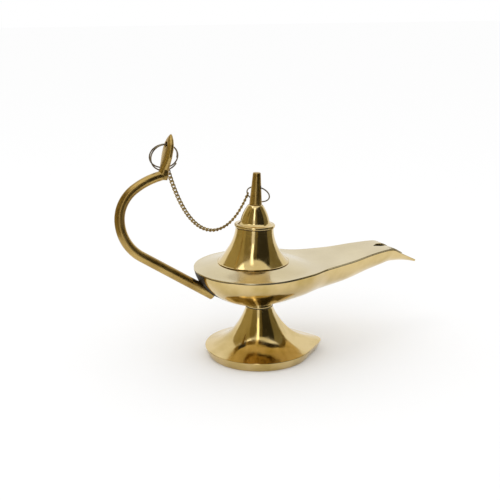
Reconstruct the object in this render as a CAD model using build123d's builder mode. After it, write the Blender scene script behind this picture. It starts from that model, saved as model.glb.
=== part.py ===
from build123d import *
import math
import os

# A brass genie oil lamp in millimetres: +Z up, the spout along +X, and the origin on the table
# under the middle of the foot's round heel.

# Sides of each round form
round_sides = 44
heel_steps = 26
tip_steps = 6

# Foot
foot_radius = 33.4
foot_point = 42.0  # from the middle of the heel to where the two flanks would meet
foot_point_round = 8.0
foot_tread = 31.0  # radius of the heel where the rim stands on the table
foot_rim = 5.8
foot_height = 30.8
foot_neck_radius = 8.2
foot_neck_point = 8.6
foot_wall = 2.4
foot_turn = -12.0  # the foot is soldered on a little turned, in degrees from the spout
foot_plate_share = 0.4  # part of the flare that is the flat plate, the rest being the stem
foot_plate_power = 8.0
foot_stem_power = 1.4
foot_levels = (0.0, 0.07, 0.18, 0.36, 0.62, 1.0)  # shares of the flare's height
foot_hollow_levels = (0.05, 0.25, 0.5)
small_share = 0.001  # step along the flare for the direction of its surface

# Bowl and spout
bowl_shift = -3.4  # the bowl stands a little behind the middle of the foot
bowl_radius = 36.4
bowl_depth = 22.8
bowl_wall = 1.6
bowl_fullness = 1.25
collar_radius = 8.2
collar_height = 2.3
# Stations along the spout: place, half width, rise of the rim above the bowl's, depth below it
spout_stations = (
    (20.0, 31.6, 0.0, 20.9),
    (36.0, 23.2, -0.6, 18.1),
    (55.0, 18.2, 0.0, 16.2),
    (75.0, 13.7, 1.9, 13.2),
    (88.0, 11.2, 2.5, 10.9),
    (97.0, 8.3, -1.5, 6.6),
    (106.0, 4.4, -6.0, 3.3),
    (113.5, 1.2, -9.7, 1.5),
)
lip_groove = 0.4
station_spacing = 6.0
section_steps = 16

# Deck
deck_thickness = 0.8
deck_end = 98.0
wick_slot_start = 81.0
wick_slot_corner = 85.0  # where the slot reaches its full width
wick_slot_width = 6.2
fill_radius = 15.0
crown_radius = 35.5
crown_height = 2.7  # of the swell in the deck, where the neck stands on it
crown_power = 1.5
crown_levels = (1.0, 0.65, 0.3, 0.0)  # shares of the way from the neck out to the swell's edge

# Neck: stands a little behind the middle of the bowl and leans to the spout
neck_middle = -4.0
neck_lean = 2.5
neck_base_radius = 21.6
neck_mouth_radius = 11.4
neck_height = 21.5
neck_wall = 1.2
neck_flare = 2.0
neck_levels = (0.0, 0.12, 0.28, 0.5, 0.75, 1.0)  # shares of the neck's height

# Lid
lid_flange_radius = 12.2
lid_flange = 1.8
lid_flange_edge = 0.6
lid_wall = 2.0
lid_spigot = 4.0
lid_clearance = 0.08
dome_cove_radius = 10.4
dome_cove = 1.2  # height of the hollow turn from the flange up to the dome
dome_radius = 8.9
dome_top_radius = 4.3
dome_height = 11.6
dome_bulge = 0.6
dome_steps = 3

# Finial
finial_radius = 3.8
finial_top_radius = 2.3
finial_height = 19.2
finial_edge = 0.6
finial_hole_height = 10.6
finial_hole_radius = 1.1
finial_turn = -43.0  # direction of the cross hole, in degrees from +X

# Lid ring, hanging behind the finial
ring_clearance = 0.1
ring_sides = 24
wire_sides = 6
lid_ring_radius = 6.9
lid_ring_wire = 0.8
lid_ring_lean = 40.0
lid_ring_edge = 0.2
lid_ring_hook = -98.0  # where the chain hangs, in degrees round the ring from its top

# Handle: centre line of the bar, along X and up from the back of the bowl's rim
handle_radius = 3.2
handle_sides = 10
handle_tail = (9.1, -13.9)
handle_bend = (-34.2, 14.8)
handle_back = (-46.3, 36.6)
handle_shoulder = (-37.2, 54.1)
handle_tip = (-20.0, 60.7)
solder_gap = 0.9
solder_spread = 1.2
solder_reach = 13.0

# Leaf thumb rest: distance up its axis, thickness and width of each section
leaf_lean = 13.1
leaf_sections = (
    (-2.4, 6.2, 5.2),
    (0.0, 5.6, 5.4),
    (3.5, 4.5, 5.2),
    (7.0, 4.0, 7.2),
    (11.0, 3.7, 9.0),
    (15.0, 3.4, 9.2),
    (18.0, 3.1, 8.2),
    (21.0, 2.3, 5.6),
    (23.0, 1.2, 2.2),
    (23.9, 0.6, 0.8),
)
leaf_hole_height = 17.6
leaf_hole_radius = 1.6
leaf_drilled = 3.4  # thickness of the leaf round its hole

# Handle ring: a split ring of two turns, sprung apart behind the leaf
split_ring_radius = 7.9
split_ring_wire = 0.8
split_ring_gap = 0.1
split_ring_start = 100.0
split_ring_turn = 700.0
split_ring_leans = (15.0, 27.0)
split_ring_swing = 18.0  # the ring hangs askew in its hole, its middle towards the back
split_ring_hook = 502.0  # where the chain hangs, in degrees along the wire from the first top
split_ring_step = 17.5

# Chain
chain_slack = 1.53  # length of the chain over the straight distance between its ends
link_pitch = 2.3
link_width = 2.5
link_wire = 0.62
link_play = 0.12
link_corner = 0.75
link_edge = 0.17

bowl_bottom = foot_height + collar_height
bowl_rim = bowl_bottom + bowl_depth
deck_top = bowl_rim + deck_thickness
neck_base = deck_top + crown_height
neck_top = neck_base + neck_height
mouth_radius = neck_mouth_radius - neck_wall
dome_top = neck_top + lid_flange + dome_height
finial_hole = dome_top + finial_hole_height
up = Vector(0, 0, 1)

os.makedirs("parts", exist_ok=True)


def flare(share, wide, narrow, power):
    """Radius of a flared stem, from its wide end at share 0 to its narrow end at share 1."""
    return narrow + (wide - narrow) * (1 - share) ** power


def stacked(sections):
    """A solid with flat facets through a row of sections, each an outline with no hollows."""
    with BuildPart() as form:
        for here, there in zip(sections, sections[1:]):
            ConvexPolyhedron([*here, *there])
    return form.part


def turned(middle, rings, start=0, turn=360):
    """A round solid about an upright axis, through rings of a given radius and height."""
    steps = round_sides * turn // 360
    angles = [math.radians(start + turn * step / steps) for step in range(steps + 1)]
    return stacked(
        [
            [(middle + radius * math.cos(a), radius * math.sin(a), height) for a in angles]
            for radius, height in rings
        ]
    )


def teardrop(height, radius, point, tip):
    """A level plan outline: a round heel drawn out to a rounded point on +X."""
    flank = math.acos(radius / point)
    tip_middle = point - tip * point / radius
    tip_turns = [flank * (2 * step / tip_steps - 1) for step in range(tip_steps + 1)]
    heel_turns = [flank + 2 * (math.pi - flank) * step / heel_steps for step in range(heel_steps + 1)]
    return [
        *[(tip_middle + tip * math.cos(turn), tip * math.sin(turn), height) for turn in tip_turns],
        *[(radius * math.cos(turn), radius * math.sin(turn), height) for turn in heel_turns],
    ]


# Foot: a teardrop rim with a flared stem, hollow underneath
flare_height = foot_height - foot_rim
rim_point_ratio = foot_point / foot_radius
neck_point_ratio = foot_neck_point / foot_neck_radius


def foot_outside(share):
    """Radius and height of the flare's surface, a stem that runs out into a flat plate."""
    stem = flare(share, foot_radius, foot_neck_radius, foot_stem_power)
    plate = flare(share, foot_radius, foot_neck_radius, foot_plate_power)
    return Vector(stem + foot_plate_share * (plate - stem), foot_rim + share * flare_height)


def foot_inside(share):
    """Radius and height of the hollow, one wall inside the flare's surface."""
    along = foot_outside(share + small_share) - foot_outside(share)
    return foot_outside(share) + Vector(-along.Y, along.X).normalized() * foot_wall


foot_plans = []
for share in foot_levels:
    radius, height, _ = foot_outside(share)
    point = radius * (rim_point_ratio + (neck_point_ratio - rim_point_ratio) * share)
    foot_plans.append(teardrop(height, radius, point, foot_point_round * radius / foot_radius))
foot_ground = teardrop(0, foot_tread, foot_tread * rim_point_ratio, foot_point_round)
inside = [foot_inside(share) for share in foot_hollow_levels]
foot_hollow = turned(0, [(inside[0].X, 0), *[(point.X, point.Y) for point in inside]])

with BuildPart() as foot:
    add(stacked([foot_ground, *foot_plans]))
    add(foot_hollow, mode=Mode.SUBTRACT)

# Hull: the stations of the bowl and spout, with more of them faired in between
stations = ((bowl_shift, bowl_radius, 0.0, bowl_depth), *spout_stations)


def grade(index, column):
    """Mean slope of a column between one given station and the next."""
    here, there = stations[index], stations[index + 1]
    return (there[column] - here[column]) / (there[0] - here[0])


def slope(index, column):
    """Slope of a column at a given station: level at the bowl and at every turning point."""
    if index == 0:
        return 0
    before = grade(index - 1, column)
    after = grade(min(index, len(stations) - 2), column)
    return 2 * before * after / (before + after) if before * after > 0 else 0


def faired(index, share):
    """A station between two given ones: place, half width, rise and depth."""
    here, there = stations[index], stations[index + 1]
    run = there[0] - here[0]
    ease = share**2 * (3 - 2 * share)
    leave, arrive = run * share * (1 - share) ** 2, run * share**2 * (1 - share)
    values = [
        here[column] + ease * (there[column] - here[column])
        + leave * slope(index, column) - arrive * slope(index + 1, column)
        for column in (1, 2, 3)
    ]
    return (here[0] + share * run, *values)


hull_stations = []
for index in range(len(stations) - 1):
    steps = math.ceil((stations[index + 1][0] - stations[index][0]) / station_spacing)
    hull_stations += [faired(index, step / steps) for step in range(steps)]
hull_stations.append(stations[-1])


def trough(half_width, depth, rim, turn):
    """Points of a section of the bowl or spout, from one rim down, through a turn in degrees."""
    steps = section_steps * turn // 180
    angles = [math.radians(turn) * step / steps for step in range(steps + 1)]
    return [(half_width * math.cos(a), rim - depth * math.sin(a) ** bowl_fullness) for a in angles]


def heel(growth, headroom=0.0):
    """The round back half of the bowl, grown by a wall and heightened above the rim."""
    reach = bowl_radius + growth
    rings = trough(reach, bowl_depth + growth, bowl_rim, 90)
    if headroom:
        rings.insert(0, (reach, bowl_rim + headroom))
    return turned(bowl_shift, rings, start=90, turn=180)


def boat(growth, headroom=0.0):
    """The bowl and spout as one form, grown by a wall and heightened above the rim."""
    sections = []
    for place, half_width, rise, depth in hull_stations:
        reach = max(half_width + growth, lip_groove)
        rim = bowl_rim + rise
        side = trough(reach, max(depth + growth, lip_groove), rim, 180)
        if headroom:
            side += [(-reach, rim + headroom), (reach, rim + headroom)]
        sections.append([(place, across, height) for across, height in side])
    with BuildPart() as form:
        add(stacked(sections))
        add(heel(growth, headroom))
    return form.part


# Bowl: the shell with its spout trough, on a collar that stands on the foot
with BuildPart() as bowl:
    add(boat(0))
    with BuildSketch(Plane.XY.offset(foot_height)) as collar:
        Circle(collar_radius)
    extrude(collar.sketch, amount=collar_height + bowl_wall)
    add(boat(-bowl_wall, headroom=deck_thickness), mode=Mode.SUBTRACT)

# Deck: the top plate, swelling up to the neck, with the fill hole and a slot where the wick comes out
def crown(radius):
    """Height of the swell above the flat deck, which fades out towards its edge."""
    fall = (crown_radius**2 - radius**2) / (crown_radius**2 - neck_base_radius**2)
    return crown_height * fall**crown_power


crown_reaches = [neck_base_radius + share * (crown_radius - neck_base_radius) for share in crown_levels]
crown_form, crown_hollow = (
    turned(neck_middle, [(reach, level + crown(reach)) for reach in crown_reaches])
    for level in (deck_top, bowl_rim)
)
deck_sections = []
for place, half_width, rise, _ in hull_stations:
    bottom, top = bowl_rim + rise, deck_top + rise
    deck_sections.append(
        [(place, across, height) for across in (-half_width, half_width) for height in (bottom, top)]
    )
with BuildPart() as deck:
    add(stacked(deck_sections))
    add(turned(bowl_shift, [(bowl_radius, bowl_rim), (bowl_radius, deck_top)], start=90, turn=180))
    add(crown_form)
    add(crown_hollow, mode=Mode.SUBTRACT)
    with BuildSketch(Plane.XY) as openings:
        with BuildLine():
            slot_side = wick_slot_width / 2
            reach = spout_stations[-1][0] + bowl_radius
            Polyline(
                (deck_end, bowl_radius),
                (deck_end, slot_side),
                (wick_slot_corner, slot_side),
                (wick_slot_start, 0),
                (wick_slot_corner, -slot_side),
                (deck_end, -slot_side),
                (deck_end, -bowl_radius),
                (reach, -bowl_radius),
                (reach, bowl_radius),
                close=True,
            )
        make_face()
        with Locations((neck_middle, 0)):
            Circle(fill_radius)
    extrude(openings.sketch, amount=neck_top, mode=Mode.SUBTRACT)

# Neck: a thin bell, made upright like all that it carries, then leaned and cut to the deck's swell
neck_foot = Vector(neck_middle, 0, neck_base)
neck_pivot = Axis(neck_foot, (0, 1, 0))


def leaned(place):
    """Where a place on the upright neck, lid or finial comes to when they lean."""
    return neck_foot + (place - neck_foot).rotate(Axis.Y, neck_lean)


bell = [
    (flare(share, neck_base_radius, neck_mouth_radius, neck_flare), neck_base + share * neck_height)
    for share in neck_levels
]
bell_outside = turned(neck_middle, bell)
bell_inside = turned(neck_middle, [(radius - neck_wall, height) for radius, height in bell])
with BuildPart() as neck:
    add(bell_outside.rotate(neck_pivot, neck_lean))
    add(bell_inside.rotate(neck_pivot, neck_lean), mode=Mode.SUBTRACT)
    add(crown_form, mode=Mode.SUBTRACT)

# Lid: a hollow dome with a turned-out flange and a spigot in the neck's mouth
spigot_radius = mouth_radius - lid_clearance
spigot_bore = spigot_radius - lid_wall
spigot_end = neck_top - lid_spigot
dome_base = neck_top + lid_flange


def dome(base_radius, base, top_radius, top):
    """Points up the side of the dome, which swells out from the straight line."""
    side = SagittaArc((base_radius, base), (top_radius, top), -dome_bulge)
    points = [side @ (step / dome_steps) for step in range(dome_steps + 1)]
    return [(point.X, point.Y) for point in points]


flange_rings = [
    (lid_flange_radius - lid_flange_edge, neck_top),
    (lid_flange_radius, neck_top + lid_flange_edge),
    (lid_flange_radius, dome_base - lid_flange_edge),
    (lid_flange_radius - lid_flange_edge, dome_base),
]
dome_outside = dome(dome_radius, dome_base + dome_cove, dome_top_radius, dome_top)
dome_inside = dome(spigot_bore, neck_top, dome_top_radius - lid_wall, dome_top - lid_wall)
with BuildPart() as lid:
    add(turned(neck_middle, flange_rings))
    add(turned(neck_middle, [(dome_cove_radius, dome_base), *dome_outside]))
    add(turned(neck_middle, [(spigot_radius, spigot_end), (spigot_radius, neck_top)]))
    add(turned(neck_middle, [(spigot_bore, spigot_end), *dome_inside]), mode=Mode.SUBTRACT)

# Finial: a tapered post, cross-drilled for the lid ring
finial_line = Vector(1, 0, 0).rotate(Axis.Z, finial_turn)
finial_top = dome_top + finial_height
finial_rings = [
    (finial_radius, dome_top),
    (finial_top_radius, finial_top - finial_edge),
    (finial_top_radius - finial_edge, finial_top),
]
with BuildPart() as finial:
    add(turned(neck_middle, finial_rings))
    with BuildSketch(Plane(origin=(neck_middle, 0, finial_hole), z_dir=finial_line)) as hole:
        Circle(finial_hole_radius)
    extrude(hole.sketch, amount=2 * finial_radius, both=True, mode=Mode.SUBTRACT)

# Lid ring: one loop of wire that rests in the finial's hole and leans back on the dome
finial_taper = (finial_radius - finial_top_radius) / (finial_height - finial_edge)
finial_half = finial_radius - finial_taper * finial_hole_height


def seat(hole_radius, wire, aside, ring_radius, half_depth):
    """Distance from a hole's middle down to the top of a ring that rests on the hole's two ends."""
    play = hole_radius - wire / 2 - ring_clearance
    return math.sqrt(play**2 - aside**2) - ring_radius + math.sqrt(ring_radius**2 - half_depth**2)


lid_ring_seat = seat(finial_hole_radius, lid_ring_wire, 0, lid_ring_radius, finial_half)
lid_ring_top = leaned(Vector(neck_middle, 0, finial_hole - lid_ring_seat))
hole_line = finial_line.rotate(Axis.Y, neck_lean)
lid_ring_down = (-up).rotate(Axis((0, 0, 0), finial_line), lid_ring_lean).rotate(Axis.Y, neck_lean)
lid_ring_centre = lid_ring_top + lid_ring_down * lid_ring_radius


def lid_ring_point(angle):
    """A point of the lid ring's wire, with the angle in degrees from its top."""
    turn = math.radians(angle)
    return lid_ring_centre + (hole_line * math.sin(turn) - lid_ring_down * math.cos(turn)) * lid_ring_radius


with BuildPart() as lid_ring:
    with BuildSketch(Plane(lid_ring_centre, x_dir=-lid_ring_down, z_dir=hole_line.cross(lid_ring_down))):
        RegularPolygon(lid_ring_radius + lid_ring_wire / 2, ring_sides)
        RegularPolygon(lid_ring_radius - lid_ring_wire / 2, ring_sides, mode=Mode.SUBTRACT)
    extrude(amount=lid_ring_wire / 2, both=True)
    flats = lid_ring.faces().sort_by(SortBy.AREA)[-2:]
    chamfer(flats.edges(), lid_ring_edge)

# Handle: a bar bent to a hoop and soldered to the bowl, with a leaf for the thumb
solder_form = heel(solder_gap)
bowl_back = Vector(bowl_shift - bowl_radius, 0, bowl_rim)
bar_points = [
    bowl_back + Vector(along, 0, rise)
    for along, rise in (handle_tail, handle_bend, handle_back, handle_shoulder, handle_tip)
]
with BuildLine() as hoop:
    run = Line(bar_points[0], bar_points[1])
    lower = TangentArc(bar_points[1], bar_points[2], tangent=run % 1)
    upper = TangentArc(bar_points[2], bar_points[3], tangent=lower % 1)
    TangentArc(bar_points[3], bar_points[4], tangent=upper % 1)

leaf_base = bar_points[-1]
leaf_axis = up.rotate(Axis.Y, leaf_lean)
leaf_across = Vector(1, 0, 0).rotate(Axis.Y, leaf_lean)
leaf_hole = leaf_base + leaf_axis * leaf_hole_height
leaf_width = max(width for _, _, width in leaf_sections)

leaf_plane = Plane(leaf_base, x_dir=leaf_across, z_dir=(0, -1, 0))
with BuildPart() as handle:
    with BuildSketch(leaf_plane) as leaf_side:
        with BuildLine():
            front = [(thickness / 2, height) for height, thickness, _ in leaf_sections]
            Polyline(*front, *[(-across, height) for across, height in reversed(front)], close=True)
        make_face()
    extrude(leaf_side.sketch, amount=leaf_width, both=True)
    with BuildSketch(Plane(leaf_base, x_dir=(0, 1, 0), z_dir=leaf_across)) as leaf_face:
        with BuildLine():
            margin = [(width / 2, height) for height, _, width in leaf_sections]
            Polyline(*margin, *[(-across, height) for across, height in reversed(margin)], close=True)
        make_face()
    extrude(leaf_face.sketch, amount=leaf_width, both=True, mode=Mode.INTERSECT)
    with BuildSketch(Plane(leaf_hole, z_dir=(1, 0, 0))) as hole:
        Circle(leaf_hole_radius)
    extrude(hole.sketch, amount=handle_radius, both=True, mode=Mode.SUBTRACT)
    with BuildSketch(Plane(bar_points[0], x_dir=(0, 1, 0), z_dir=run % 0)) as bar:
        RegularPolygon(handle_radius, handle_sides)
    sweep(bar.sketch, path=hoop.wires()[0])
    add(solder_form, mode=Mode.SUBTRACT)

# Solder: the dark patch between the handle's tail and the bowl
with BuildPart() as handle_solder:
    with BuildSketch(Plane(bar_points[0], x_dir=(0, 1, 0), z_dir=run % 0)):
        RegularPolygon(handle_radius + solder_spread, handle_sides)
    extrude(amount=solder_reach)
    add(solder_form, mode=Mode.INTERSECT)
    add(heel(0), mode=Mode.SUBTRACT)

# Handle ring: two turns of wire through the leaf, the second sprung further back
split_ring_side = (split_ring_wire + split_ring_gap) / 2
leaf_half = leaf_drilled / 2
split_ring_seat = seat(leaf_hole_radius, split_ring_wire, split_ring_side, split_ring_radius, leaf_half)
split_ring_dip = leaf_half * math.tan(math.radians(split_ring_swing))
split_ring_top = leaf_hole - up * (split_ring_seat - split_ring_dip)


def split_ring_point(angle):
    """A point of the split ring's wire, with the angle in degrees along it from its first top."""
    turn = math.radians(angle)
    share = min(max((angle - 360) / 180, 0), 1)
    lean = math.radians(split_ring_leans[0] + share * (split_ring_leans[1] - split_ring_leans[0]))
    side = (2 * share - 1) * split_ring_side
    drop = split_ring_radius * (1 - math.cos(turn))
    across = split_ring_radius * math.sin(turn)
    place = Vector(across, side + drop * math.sin(lean), -drop * math.cos(lean))
    return split_ring_top + place.rotate(Axis.Y, split_ring_swing)


with BuildPart() as handle_ring:
    middle = split_ring_top - up.rotate(Axis.Y, split_ring_swing) * split_ring_radius
    count = round(split_ring_turn / split_ring_step)
    for step in range(count + 1):
        angle = split_ring_start + step * split_ring_turn / count
        along = split_ring_point(angle + 1) - split_ring_point(angle - 1)
        place = split_ring_point(angle)
        with BuildSketch(Plane(place, x_dir=place - middle, z_dir=along)):
            RegularPolygon(split_ring_wire / 2, wire_sides)
    loft(ruled=True)


# Chain: links threaded through each other, hanging as a catenary between the two rings
def catenary(span, drop, length):
    """Shape and low point of a chain that hangs across span, with its far end drop lower."""
    reach = math.sqrt(length**2 - drop**2)
    low, high = span / 100, span * 100
    for _ in range(100):
        shape = (low + high) / 2
        if 2 * shape * math.sinh(span / 2 / shape) > reach:
            low = shape
        else:
            high = shape
    return shape, span / 2 + shape * math.asinh(drop / 2 / shape / math.sinh(span / 2 / shape))


class Hang:
    """A chain's route from start to finish, by the distance along it."""

    def __init__(self, start, finish):
        step = finish - start
        self.start = start
        self.links = round(chain_slack * step.length / link_pitch)
        self.level = Vector(step.X, step.Y, 0).normalized()
        self.side = up.cross(self.level)
        span = Vector(step.X, step.Y, 0).length
        self.shape, self.low = catenary(span, -step.Z, self.links * link_pitch)
        self.back = self.shape * math.sinh(-self.low / self.shape)

    def at(self, distance):
        """Place and direction at a distance along the chain."""
        steep = (distance + self.back) / self.shape
        across = self.low + self.shape * math.asinh(steep)
        rise = self.shape * (math.hypot(1, steep) - math.cosh(self.low / self.shape))
        return self.start + self.level * across + up * rise, (self.level + up * steep).normalized()

    def roll(self, distance, wire):
        """Angle round the chain, in degrees from its side, at which a link faces along a wire."""
        along = self.at(distance)[1]
        return math.degrees(math.atan2(wire.dot(along.cross(self.side)), wire.dot(self.side)))


first_hook = split_ring_point(split_ring_hook)
last_hook = lid_ring_point(lid_ring_hook)
draft = Hang(first_hook, last_hook)
draft_length = draft.links * link_pitch
hang = Hang(
    first_hook - draft.at(0)[1] * (split_ring_wire / 2 + ring_clearance),
    last_hook + draft.at(draft_length)[1] * (lid_ring_wire / 2 + ring_clearance),
)
chain_length = hang.links * link_pitch
first_wire = split_ring_point(split_ring_hook + 1) - split_ring_point(split_ring_hook - 1)
last_wire = lid_ring_point(lid_ring_hook + 1) - lid_ring_point(lid_ring_hook - 1)
first_roll = hang.roll(link_pitch / 2, first_wire)
last_roll = hang.roll(chain_length - link_pitch / 2, last_wire)
quarter_turns = 90 * (hang.links - 1)
spare_turn = (last_roll - first_roll - quarter_turns + 90) % 180 - 90
link_turn = (quarter_turns + spare_turn) / (hang.links - 1)
link_length = link_pitch + link_play + 2 * link_wire

chain = []
for number in range(hang.links):
    place, along = hang.at((number + 0.5) * link_pitch)
    facing = hang.side.rotate(Axis((0, 0, 0), along), first_roll + number * link_turn)
    with BuildPart() as link:
        with BuildSketch(Plane(place, x_dir=along, z_dir=facing)) as outline:
            Rectangle(link_length, link_width)
            chamfer(outline.vertices(), link_corner)
            offset(amount=-link_wire, mode=Mode.SUBTRACT)
        extrude(amount=link_wire / 2, both=True)
        flats = link.faces().filter_by(Plane(place, z_dir=facing))
        chamfer(flats.edges(), link_edge)
    chain.append(link)

pieces = {
    "foot": foot.part.rotate(Axis.Z, foot_turn),
    "bowl": bowl.part,
    "deck": deck.part,
    "neck": neck.part,
    "handle": handle.part,
    "handle_solder": handle_solder.part,
    "handle_ring": handle_ring.part,
    "lid": lid.part.rotate(neck_pivot, neck_lean),
    "finial": finial.part.rotate(neck_pivot, neck_lean),
    "lid_ring": lid_ring.part,
}
for number, link in enumerate(chain, start=1):
    pieces[f"chain_link_{number:02d}"] = link.part

for name, piece in pieces.items():
    piece.label = name
    export_step(piece, f"parts/{name}.step")
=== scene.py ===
# %% [markdown]
# # A brass genie lamp
#
# The lamp is a boat-shaped bowl with a long spout, standing on a teardrop foot. A bell neck on the
# bowl's deck carries a lid, and a fine chain ties the lid to a hoop handle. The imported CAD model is
# loaded first as a fixed frame. Every piece below is made in the same frame, in the place where the
# CAD says it is, and then takes the plain solid's place.

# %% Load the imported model
import math

import bmesh
import bpy
from mathutils import Matrix, Quaternion, Vector, noise


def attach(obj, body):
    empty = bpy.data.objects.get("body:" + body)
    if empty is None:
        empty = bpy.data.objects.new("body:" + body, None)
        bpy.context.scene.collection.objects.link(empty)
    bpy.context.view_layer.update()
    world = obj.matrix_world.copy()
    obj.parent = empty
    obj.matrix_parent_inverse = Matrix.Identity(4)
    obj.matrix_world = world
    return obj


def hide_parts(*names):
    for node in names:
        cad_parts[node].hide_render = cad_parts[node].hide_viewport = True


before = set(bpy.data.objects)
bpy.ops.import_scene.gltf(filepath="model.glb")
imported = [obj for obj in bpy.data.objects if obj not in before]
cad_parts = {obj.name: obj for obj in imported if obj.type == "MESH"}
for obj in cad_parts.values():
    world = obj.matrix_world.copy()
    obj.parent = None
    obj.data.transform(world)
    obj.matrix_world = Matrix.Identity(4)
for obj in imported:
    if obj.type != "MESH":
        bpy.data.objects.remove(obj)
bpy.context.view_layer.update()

scene = bpy.context.scene
scene.view_settings.view_transform = "Standard"

# %% [markdown]
# ## Camera
#
# The photograph looks down on the lamp a little, from the side and slightly towards the handle.
# A long lens keeps the near and far rims of the bowl close in size. The camera is placed by an angle
# round the lamp and an angle above the table, which are easier to judge than three coordinates.

# %% Camera at the photograph's angle
MM = 0.001
camera_turn = math.radians(-25.0)
camera_rise = math.radians(15.8)
camera_target = Vector((-6.1, 0.0, 66.6)) * MM
camera_distance = 540.0 * MM

towards_camera = Vector((
    math.sin(camera_turn) * math.cos(camera_rise),
    -math.cos(camera_turn) * math.cos(camera_rise),
    math.sin(camera_rise),
))
camera_data = bpy.data.cameras.new("camera")
camera_data.lens = 64.8
camera_data.sensor_width = 36.0
camera = bpy.data.objects.new("camera", camera_data)
camera.location = camera_target + towards_camera * camera_distance
camera.rotation_euler = towards_camera.to_track_quat("Z", "Y").to_euler()
scene.collection.objects.link(camera)
scene.camera = camera
print("camera at", [round(c, 3) for c in camera.location])

# %% [markdown]
# ## Finishes
#
# Polished brass is nearly all reflection: a metallic shader whose colour is the metal's own tint.
# Real brass is never even, so a soft noise moves the tint between clean and tarnished metal, a finer
# one moves the roughness where cloths and fingers have dulled it, and two very shallow bumps make
# the reflections waver as hand-worked sheet does and give the fine lines left by turning.
# Everything reads Object coordinates, so the pattern is fixed to the metal.

# %% Noise and bump in millimetres
def noise_on(tree, coordinates, size, detail, stretch=(1.0, 1.0, 1.0)):
    """A noise whose features are about the given size in millimetres, stretched along the axes."""
    mapping = tree.nodes.new("ShaderNodeMapping")
    mapping.inputs["Scale"].default_value = [1.0 / (size * MM * s) for s in stretch]
    texture = tree.nodes.new("ShaderNodeTexNoise")
    texture.inputs["Scale"].default_value = 1.0
    texture.inputs["Detail"].default_value = detail
    tree.links.new(coordinates, mapping.inputs["Vector"])
    tree.links.new(mapping.outputs["Vector"], texture.inputs["Vector"])
    return texture.outputs["Fac"]


def bump_on(tree, height, depth):
    """A shallow bump with a depth in millimetres."""
    bump = tree.nodes.new("ShaderNodeBump")
    bump.inputs["Strength"].default_value = 1.0
    bump.inputs["Distance"].default_value = depth * MM
    tree.links.new(height, bump.inputs["Height"])
    return bump


tarnish_range = (0.34, 0.60)
dulling_range = (0.3, 0.7)
dulling_fineness = 4
waver_size = 14.0
line_size = 6.0
print("reflections waver over", waver_size, "mm, lines over", line_size, "mm")

# %% A finish for each metal
def metal(name, clean, tarnished, patch, smooth, rough, waver, line, metallic=1.0, stretch=(1, 1, 0.03)):
    """A metal finish: two tints in patches, a range of roughness, wavering and lined reflections."""
    finish = bpy.data.materials.new(name)
    finish.use_nodes = True
    tree = finish.node_tree
    join = tree.links.new
    shader = tree.nodes["Principled BSDF"]
    shader.inputs["Metallic"].default_value = metallic
    where = tree.nodes.new("ShaderNodeTexCoord").outputs["Object"]

    tint = tree.nodes.new("ShaderNodeValToRGB")
    for stop, place, colour in zip(tint.color_ramp.elements, tarnish_range, (tarnished, clean)):
        stop.position = place
        stop.color = (*colour, 1.0)
    join(noise_on(tree, where, patch, detail=5.0), tint.inputs["Fac"])
    join(tint.outputs["Color"], shader.inputs["Base Color"])

    dulling = tree.nodes.new("ShaderNodeMapRange")
    for socket, value in zip(("From Min", "From Max", "To Min", "To Max"), (*dulling_range, smooth, rough)):
        dulling.inputs[socket].default_value = value
    join(noise_on(tree, where, patch / dulling_fineness, detail=4.0), dulling.inputs["Value"])
    join(dulling.outputs["Result"], shader.inputs["Roughness"])

    wavering = bump_on(tree, noise_on(tree, where, waver_size, detail=1.0), waver)
    lines = bump_on(tree, noise_on(tree, where, line_size, detail=3.0, stretch=stretch), line)
    join(wavering.outputs["Normal"], lines.inputs["Normal"])
    join(lines.outputs["Normal"], shader.inputs["Normal"])
    return finish


polished_brass = metal(
    "polished brass", (0.69, 0.53, 0.25), (0.54, 0.395, 0.14),
    patch=16.0, smooth=0.06, rough=0.18, waver=0.30, line=0.004,
)
deck_brass = metal(
    "wiped brass", (0.68, 0.58, 0.36), (0.59, 0.49, 0.285),
    patch=30.0, smooth=0.12, rough=0.24, waver=0.10, line=0.003, stretch=(1, 0.1, 1),
)
satin_brass = metal(
    "satin brass", (0.52, 0.36, 0.12), (0.34, 0.215, 0.06),
    patch=18.0, smooth=0.24, rough=0.38, waver=0.14, line=0.012, stretch=(0.3, 0.3, 1),
)
dark_wire = metal(
    "dark brass wire", (0.30, 0.25, 0.17), (0.16, 0.13, 0.09),
    patch=3.0, smooth=0.25, rough=0.42, waver=0.01, line=0.002,
)
chain_brass = metal(
    "chain brass", (0.52, 0.39, 0.16), (0.30, 0.21, 0.08),
    patch=4.0, smooth=0.20, rough=0.36, waver=0.01, line=0.002,
)
# Black solder and flux at the joints; the same finish paints the shade rings under the lid's flange and the
# bowl's collar
old_solder = metal(
    "old solder and painted shade", (0.036, 0.026, 0.014), (0.007, 0.006, 0.005),
    patch=2.2, smooth=0.45, rough=0.80, waver=0.30, line=0.05, metallic=0.0,
)
# A near-black finish that paints the shade inside the spout
spout_shade_finish = metal(
    "spout_shade_lining", (0.050, 0.036, 0.018), (0.012, 0.009, 0.006),
    patch=6.0, smooth=0.50, rough=0.85, waver=0.10, line=0.02, metallic=0.0,
)
print("finishes:", [m.name for m in bpy.data.materials if m.use_nodes])

# %% [markdown]
# ## Making and placing a piece
#
# Most pieces are rows of points joined by four-sided faces, which is the simplest way to loft a form
# in code. Rows that meet in a pole or fold back on themselves leave doubled points, so these are
# merged, and the faces are turned outwards. Each piece then rides on its CAD body and replaces the
# plain solids that it stands for.

# %% Helpers for every piece
SEAM = 0.002 * MM
CREASE = math.radians(38.0)


def surface(rows, close_rows=False, close_columns=False):
    """Points and four-sided faces of a surface through rows of the same length."""
    count = len(rows[0])
    faces = []
    for row in range(len(rows) - (not close_rows)):
        after = (row + 1) % len(rows)
        for column in range(count - (not close_columns)):
            beside = (column + 1) % count
            faces.append((
                row * count + column,
                row * count + beside,
                after * count + beside,
                after * count + column,
            ))
    return [point for row in rows for point in row], faces


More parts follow.
